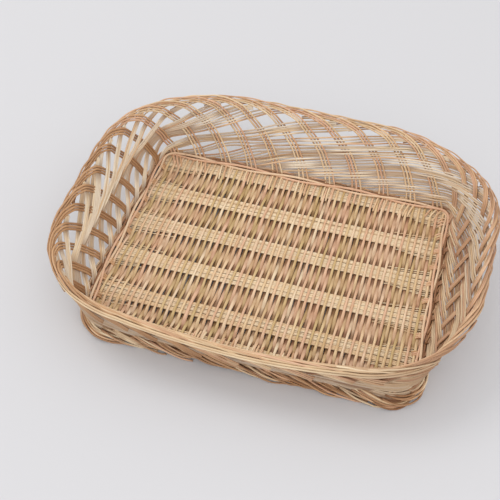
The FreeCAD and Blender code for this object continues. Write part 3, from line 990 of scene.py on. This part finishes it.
def build_stakes(stakes):
    stake_pieces = {name: Rods("stakes_" + name) for name in WALL_NAMES}
    border_pieces = {name: Rods("border_" + name) for name in WALL_NAMES}
    for stake in stakes:
        name = wall_name(stake.start)
        offset = WEAVE_DEPTH * softened(woven(stake.rises, stake.knots, 0.012, 1.0), 2)
        offset *= smooth_step((1.0 - stake.rises) / 0.06)
        normal = inward(stake.turns, stake.rises)
        lying = np.clip(stake.steps - BORDER_LIE_STEP, 0.0, None)
        line = stake_line(stake, offset, normal, lying)
        across = unit(np.cross(unit(np.gradient(line, axis=0)), normal))
        spread = stake_spread(stake.turns, stake.rises)
        out = outward_level(stake.turns)[0]
        left = on_left(np.array([stake.start]))[0]
        right = on_right(np.array([stake.start]))[0]
        for rod in range(STAKE_RODS):
            place = rod - (STAKE_RODS - 1) / 2
            path = line + across * (place * spread)[:, None]
            path += normal * wander(len(path), size=0.18, stretch=16, width=6)[:, None]
            astray = wander(len(path), size=BORDER_WANDER, stretch=14, width=5) * smooth_step(lying)
            path += across * astray[:, None]
            # Darker tone on the left wall, and on the right wall a darker tone as painted shade
            tone = RNG.uniform(0.3, 1.0) * (1 - 0.75 * left - 0.3 * right)
            second = RNG.random()
            radius = STAKE_RADIUS + STAKE_LEFT_EXTRA * left - STAKE_RIGHT_LESS * right
            radius *= RNG.uniform(0.92, 1.06)
            radius = radius * (1 - BORDER_NARROWING * smooth_step(lying / 1.5))
            soil = stake_shade_and_stain(stake, offset, lying, left, right)
            lead = stake_lead(path, out)
            path = np.vstack([lead, path])
            for axis in range(3):
                path[:LEAD_SOFT_POINTS, axis] = softened(path[:LEAD_SOFT_POINTS, axis], 3)
            facing = np.vstack([np.repeat(normal[:1], len(lead), axis=0), normal])
            radius = np.concatenate([np.repeat(radius[:1], len(lead)), radius])
            soil = np.concatenate([np.zeros(len(lead)), soil])
            split = len(lead) + int(np.searchsorted(stake.steps, BORDER_FIRST_STEP))
            parts = (path, facing, radius, tone, second, soil)
            add_stake_rod(stake_pieces[name], border_pieces[name], split, parts)
    for name in WALL_NAMES:
        stake_pieces[name].finish(STAKE_WILLOW, "wall_stake", "stakes_" + name)
        border_pieces[name].finish(BORDER_WILLOW, "border_rod", "border_" + name)


COUNTER_STEP = 0.015
COUNTER_FLAT = 0.85


def build_counters(counters):
    pieces = {name: Rods("counter_rods_" + name) for name in WALL_NAMES}
    for counter in counters:
        travelled = np.arange(0.0, counter.travelled[-1], COUNTER_STEP)
        rises = softened(np.interp(travelled, counter.travelled, counter.rises), 3)
        turns = counter.start - travelled
        offset = WEAVE_DEPTH * softened(woven(travelled, counter.knots, 0.028, -1.0), 2)
        normal = inward(turns, rises)
        line = wall(turns, rises) + normal * offset[:, None]
        across = unit(np.cross(unit(np.gradient(line, axis=0)), normal))
        spread = counter_spread(turns, rises)
        left = on_left(turns, 0.6)
        thickness = COUNTER_RADIUS + 0.25 * left + 0.2 * on_front(turns, 0.3) + 0.05 * on_right(turns)
        right = on_right(np.array([counter.start - 0.5]))[0]
        for rod in range(COUNTER_RODS):
            place = (COUNTER_RODS - 1) / 2 - rod
            astray = wander(len(line), size=0.1, stretch=14, width=5)
            path = line + across * (spread * (place + astray))[:, None]
            path += normal * wander(len(line), size=0.15, stretch=12, width=4)[:, None]
            radius = thickness * RNG.uniform(0.9, 1.1)
            # Painted shade: groups that start on the right wall get a darker tone
            tone = (1.0 - 0.8 * RNG.beta(0.7, 1.9)) * (1 - 0.35 * right)
            # Painted shade from the wall, and a random darkening by rod, weaker on the left wall
            soil = wall_painted_shade(turns, rises, offset, 0.8, RNG.uniform(0.1, 1.0))
            soil = np.maximum(soil, 0.75 * RNG.beta(0.6, 1.9) * (1 - 0.6 * left))
            piece = pieces[wall_name(counter.start)]
            piece.add(path, normal, radius, tone, flat=COUNTER_FLAT, soil=soil)
    for name in WALL_NAMES:
        pieces[name].finish(COUNTER_WILLOW, "counter_rod", "counter_rods_" + name)


# -------- edge rods, front roll and foot

RING_STEP = 3.0
CORNER_WALKS = BASE_WALK[OCTANT_STEPS :: 2 * OCTANT_STEPS]
CORNER_HALF = BASE_CORNER_FRONT * math.pi / 4
SIDE_STARTS = (
    ("front", CORNER_WALKS[3] - GIRTH, CORNER_WALKS[0]),
    ("right", CORNER_WALKS[0], CORNER_WALKS[1]),
    ("back", CORNER_WALKS[1], CORNER_WALKS[2]),
    ("left", CORNER_WALKS[2], CORNER_WALKS[3]),
)


def ring_line(first, last, outset, height):
    """Points round the base outline between two lengths, moved out from it."""
    walked = np.arange(first, last + RING_STEP, RING_STEP)
    turns = np.interp(np.mod(walked, GIRTH), BASE_WALK, TURNS)
    out = outward_level(turns)
    line = wall(turns, np.zeros(len(walked))) + out * outset
    line[:, 2] = height
    return walked, line, out


def ring_pieces(prefix):
    """A piece for each side and one for the corners, and the stretches of the ring that go in each."""
    corners = Rods(prefix + "corners")
    pieces = []
    stretches = []
    for name, first, last in SIDE_STARTS:
        pieces.append(Rods(prefix + name))
        stretches.append((first + CORNER_HALF, last - CORNER_HALF, pieces[-1]))
        stretches.append((last - CORNER_HALF, last + CORNER_HALF, corners))
    return [*pieces, corners], stretches


def finish_ring(pieces, material, slot):
    for piece in pieces:
        piece.finish(material, slot, piece.name)


EDGE_RADIUS = 1.9
EDGE_TWINE = 190.0
EDGE_INSET = 4.2
EDGE_LIFT = 1.6
EDGE_APART = 2.7
EDGE_UP = 1.4
EDGE_LEAN = 0.9


def build_edge_rods():
    """Two thicker rods twined about each other in the fold between base and wall."""
    pieces, stretches = ring_pieces("edge_rods_")
    height = BASE_Z + WARP_SWING + EDGE_RADIUS + EDGE_LIFT
    twines = np.round(GIRTH / EDGE_TWINE)
    for strand, tone in enumerate((0.5, 0.85)):
        for begin, end, piece in stretches:
            walked, line, out = ring_line(begin, end, -EDGE_INSET, height)
            phase = 2 * math.pi * twines * walked / GIRTH + strand * math.pi
            line += out * (EDGE_APART * np.cos(phase))[:, None]
            line[:, 2] += EDGE_UP * np.sin(phase) + EDGE_LEAN * np.cos(phase)
            piece.add(line, UP, EDGE_RADIUS, tone, start=begin, second=0.3)
    finish_ring(pieces, EDGE_WILLOW, "edge_rod")


ROLL_RADIUS = 1.5
ROLL_REACH = 1.0
ROLL_POINTS = 160
ROLL_OUT = (0.5, 3.3, 6.1, 8.8, 10.2)
ROLL_UP = (4.0, 5.4, 4.6, 2.0, -1.2)
ROLL_DIVE = 6.0
ROLL_TUCK = 2.0
ROLL_TAPER = 0.4


def build_front_roll():
    """Long smooth rods laid side by side over the border of the low front."""
    piece = Rods("front_roll_rods")
    for beside, above in zip(ROLL_OUT, ROLL_UP):
        reach = ROLL_REACH * RNG.uniform(0.85, 1.1, 2)
        turns = np.linspace(-reach[0], reach[1], ROLL_POINTS)
        out = outward_level(turns)
        ends = smooth_step((np.abs(np.linspace(-1.0, 1.0, ROLL_POINTS)) - 0.8) / 0.2)
        line = wall(turns, np.ones(ROLL_POINTS))
        aside = beside - ROLL_TUCK * ends + wander(ROLL_POINTS, size=0.4, stretch=26, width=10)
        height = above - ROLL_DIVE * ends + wander(ROLL_POINTS, size=0.4, stretch=26, width=10)
        line += out * aside[:, None]
        line[:, 2] += height
        radius = ROLL_RADIUS * (1 - ROLL_TAPER * ends)
        # A little darker all along, and painted shade that grows towards the front right corner
        soil = 0.15 + 0.3 * smooth_step((turns - 0.3) / 0.5)
        piece.add(line, out, radius, RNG.uniform(0.55, 1.0), soil=soil)
    piece.finish(BORDER_WILLOW, "border_rod", "front_roll_rods")


# Rods that run all round inside the plait: how far out from the base edge, and how high
FOOT_CORE = ((0.8, 16.5), (2.6, 12.8), (4.0, 9.0), (4.2, 5.4))
FOOT_CORE_RADIUS = 1.9
FOOT_CORE_WAVE = 0.7
FOOT_CORE_WAVE_LENGTH = 55.0
# Painted shade: the core rods lie inside the plait and are darkened
FOOT_CORE_SHADE = 0.8
FOOT_BUNCHES = 50
FOOT_BUNCH_RODS = 5
FOOT_BUNCH_LENGTH = 66.0
FOOT_ROD_RADIUS = 1.3
FOOT_ROD_PITCH = 2.3
FOOT_ROD_SHIFT = 9.0
FOOT_PITCH_UP = 0.8
FOOT_PITCH_IN = 0.55
FOOT_GROUND_GAP = 0.05
# A bunch leaves the wall's outer side, lies down along the foot and ends at the ground. By share of
# its length: how far out it is, and how high.
FOOT_SHARES = (0.0, 0.2, 0.45, 0.7, 0.9, 1.0)
FOOT_OUT_BY_SHARE = (3.5, 7.0, 9.2, 9.0, 7.0, 5.0)
FOOT_Z_BY_SHARE = (16.0, 14.5, 11.5, 7.5, 4.6, 3.6)
FOOT_RISE_FRONT = 8.0


def add_foot_rod(piece, middle, place):
    """One thin rod of a bunch, at its place across the bunch."""
    length = FOOT_BUNCH_LENGTH * RNG.uniform(0.75, 1.2)
    start = middle - length / 2 + RNG.normal(0, FOOT_ROD_SHIFT)
    walked, path, out = ring_line(start, start + length, 0.0, 0.0)
    share = np.linspace(0.0, 1.0, len(walked))
    lift = FOOT_PITCH_UP * place + RNG.normal(0, 1.3) + RNG.normal(0, 1.5) * (share - 0.5)
    away = softened(np.interp(share, FOOT_SHARES, FOOT_OUT_BY_SHARE), 4)
    away += RNG.normal(0, 0.8) - FOOT_PITCH_IN * place
    path += out * (away + wander(len(walked), size=0.5, stretch=9, width=4))[:, None]
    front = 1 - on_stretch(np.interp(walked % GIRTH, BASE_WALK, TURNS), 0.9, 7.1, 0.3)
    rising = FOOT_RISE_FRONT * front * (1 - share) ** 2
    height = softened(np.interp(share, FOOT_SHARES, FOOT_Z_BY_SHARE) + rising, 4) + lift
    radius = FOOT_ROD_RADIUS * RNG.uniform(0.85, 1.15)
    height += wander(len(walked), size=0.5, stretch=9, width=4)
    path[:, 2] = np.maximum(height, radius + FOOT_GROUND_GAP)
    # Painted shade where the rod leaves the wall and where it reaches the ground, and a random darkening by
    # rod
    soil = 0.7 * smooth_step((0.3 - share) / 0.3) + 0.5 * smooth_step((share - 0.8) / 0.2)
    soil = np.maximum(soil, RNG.uniform(0.0, 0.6))
    piece.add(path, out, radius, RNG.uniform(0.0, 1.0), soil=soil)


def build_foot():
    """Bunches of thin rods laid one over the next, a loose plait round the foot of the wall."""
    pieces, stretches = ring_pieces("foot_plait_")
    waves = np.round(GIRTH / FOOT_CORE_WAVE_LENGTH)
    for outset, height in FOOT_CORE:
        for begin, end, piece in stretches:
            walked, path, out = ring_line(begin, end, outset, height)
            path[:, 2] += FOOT_CORE_WAVE * np.sin(2 * math.pi * waves * walked / GIRTH + height)
            piece.add(path, out, FOOT_CORE_RADIUS, 0.3, start=begin, second=0.5, soil=FOOT_CORE_SHADE)
    for bunch in range(FOOT_BUNCHES):
        middle = GIRTH * bunch / FOOT_BUNCHES + SIDE_STARTS[0][1] + CORNER_HALF
        piece = next(piece for begin, end, piece in stretches if begin <= middle <= end)
        for rod in range(FOOT_BUNCH_RODS):
            add_foot_rod(piece, middle, (rod - (FOOT_BUNCH_RODS - 1) / 2) * FOOT_ROD_PITCH)
    finish_ring(pieces, FOOT_WILLOW, "foot_rod")


# -------- stage, light and camera, in metres

FLOOR_HALF = 6.0
FLOOR_COLOUR = (0.62, 0.625, 0.655)
FLOOR_ROUGHNESS = 0.8
WARM_WHITE = (1.0, 0.98, 0.95)
SKY = (1.0, 0.985, 0.97)
SKY_STRENGTH = 0.89
LIGHT_POWER = 58.0
CAMERA_PLACE = Vector((0.1994, -0.8844, 0.9995))
CAMERA_TARGET = Vector((-0.0412, 0.0023, 0.0120))
CAMERA_ROLL = math.radians(1.48)
CAMERA_LENS = 64.8
CAMERA_SENSOR = 36.0


def build_floor():
    material = bpy.data.materials.new("pale_floor")
    material.use_nodes = True
    shader = material.node_tree.nodes["Principled BSDF"]
    set_input(shader, "Base Color", (*FLOOR_COLOUR, 1.0))
    set_input(shader, "Roughness", FLOOR_ROUGHNESS)
    mesh = bpy.data.meshes.new("floor")
    corners = [(x * FLOOR_HALF, y * FLOOR_HALF, 0.0) for x, y in ((-1, -1), (1, -1), (1, 1), (-1, 1))]
    mesh.from_pydata(corners, [], [(0, 1, 2, 3)])
    mesh.materials.append(material)
    floor = bpy.data.objects.new("floor", mesh)
    bpy.context.scene.collection.objects.link(floor)


def area_light(name, place, size):
    """A square soft light that looks at the basket."""
    data = bpy.data.lights.new(name, "AREA")
    data.shape = "SQUARE"
    data.size = size
    data.energy = LIGHT_POWER
    data.color = WARM_WHITE
    light = bpy.data.objects.new(name, data)
    light.location = place
    light.rotation_euler = (-Vector(place)).to_track_quat("-Z", "Y").to_euler()
    bpy.context.scene.collection.objects.link(light)


def build_light():
    area_light("window", (-3.0, 0.9, 4.1), 2.4)
    area_light("fill", (1.4, -3.0, 3.2), 4.0)
    world = bpy.data.worlds.new("studio")
    world.use_nodes = True
    background = world.node_tree.nodes["Background"]
    set_input(background, "Color", (*SKY, 1.0))
    set_input(background, "Strength", SKY_STRENGTH)
    bpy.context.scene.world = world
    bpy.context.scene.view_settings.view_transform = "Standard"


def build_camera():
    data = bpy.data.cameras.new("camera")
    data.lens = CAMERA_LENS
    data.sensor_width = CAMERA_SENSOR
    camera = bpy.data.objects.new("camera", data)
    way = CAMERA_TARGET - CAMERA_PLACE
    turn = way.to_track_quat("-Z", "Y").to_matrix() @ Matrix.Rotation(CAMERA_ROLL, 3, "Z")
    camera.matrix_world = Matrix.Translation(CAMERA_PLACE) @ turn.to_4x4()
    bpy.context.scene.collection.objects.link(camera)
    bpy.context.scene.camera = camera


def main():
    build_base_rods()
    build_bands()
    build_end_wefts()
    counters = counter_groups()
    stakes = [Stake(group) for group in range(STAKE_COUNT)]
    cross_rods(stakes, counters)
    build_stakes(stakes)
    build_counters(counters)
    build_edge_rods()
    build_front_roll()
    build_foot()
    build_floor()
    build_light()
    build_camera()


main()
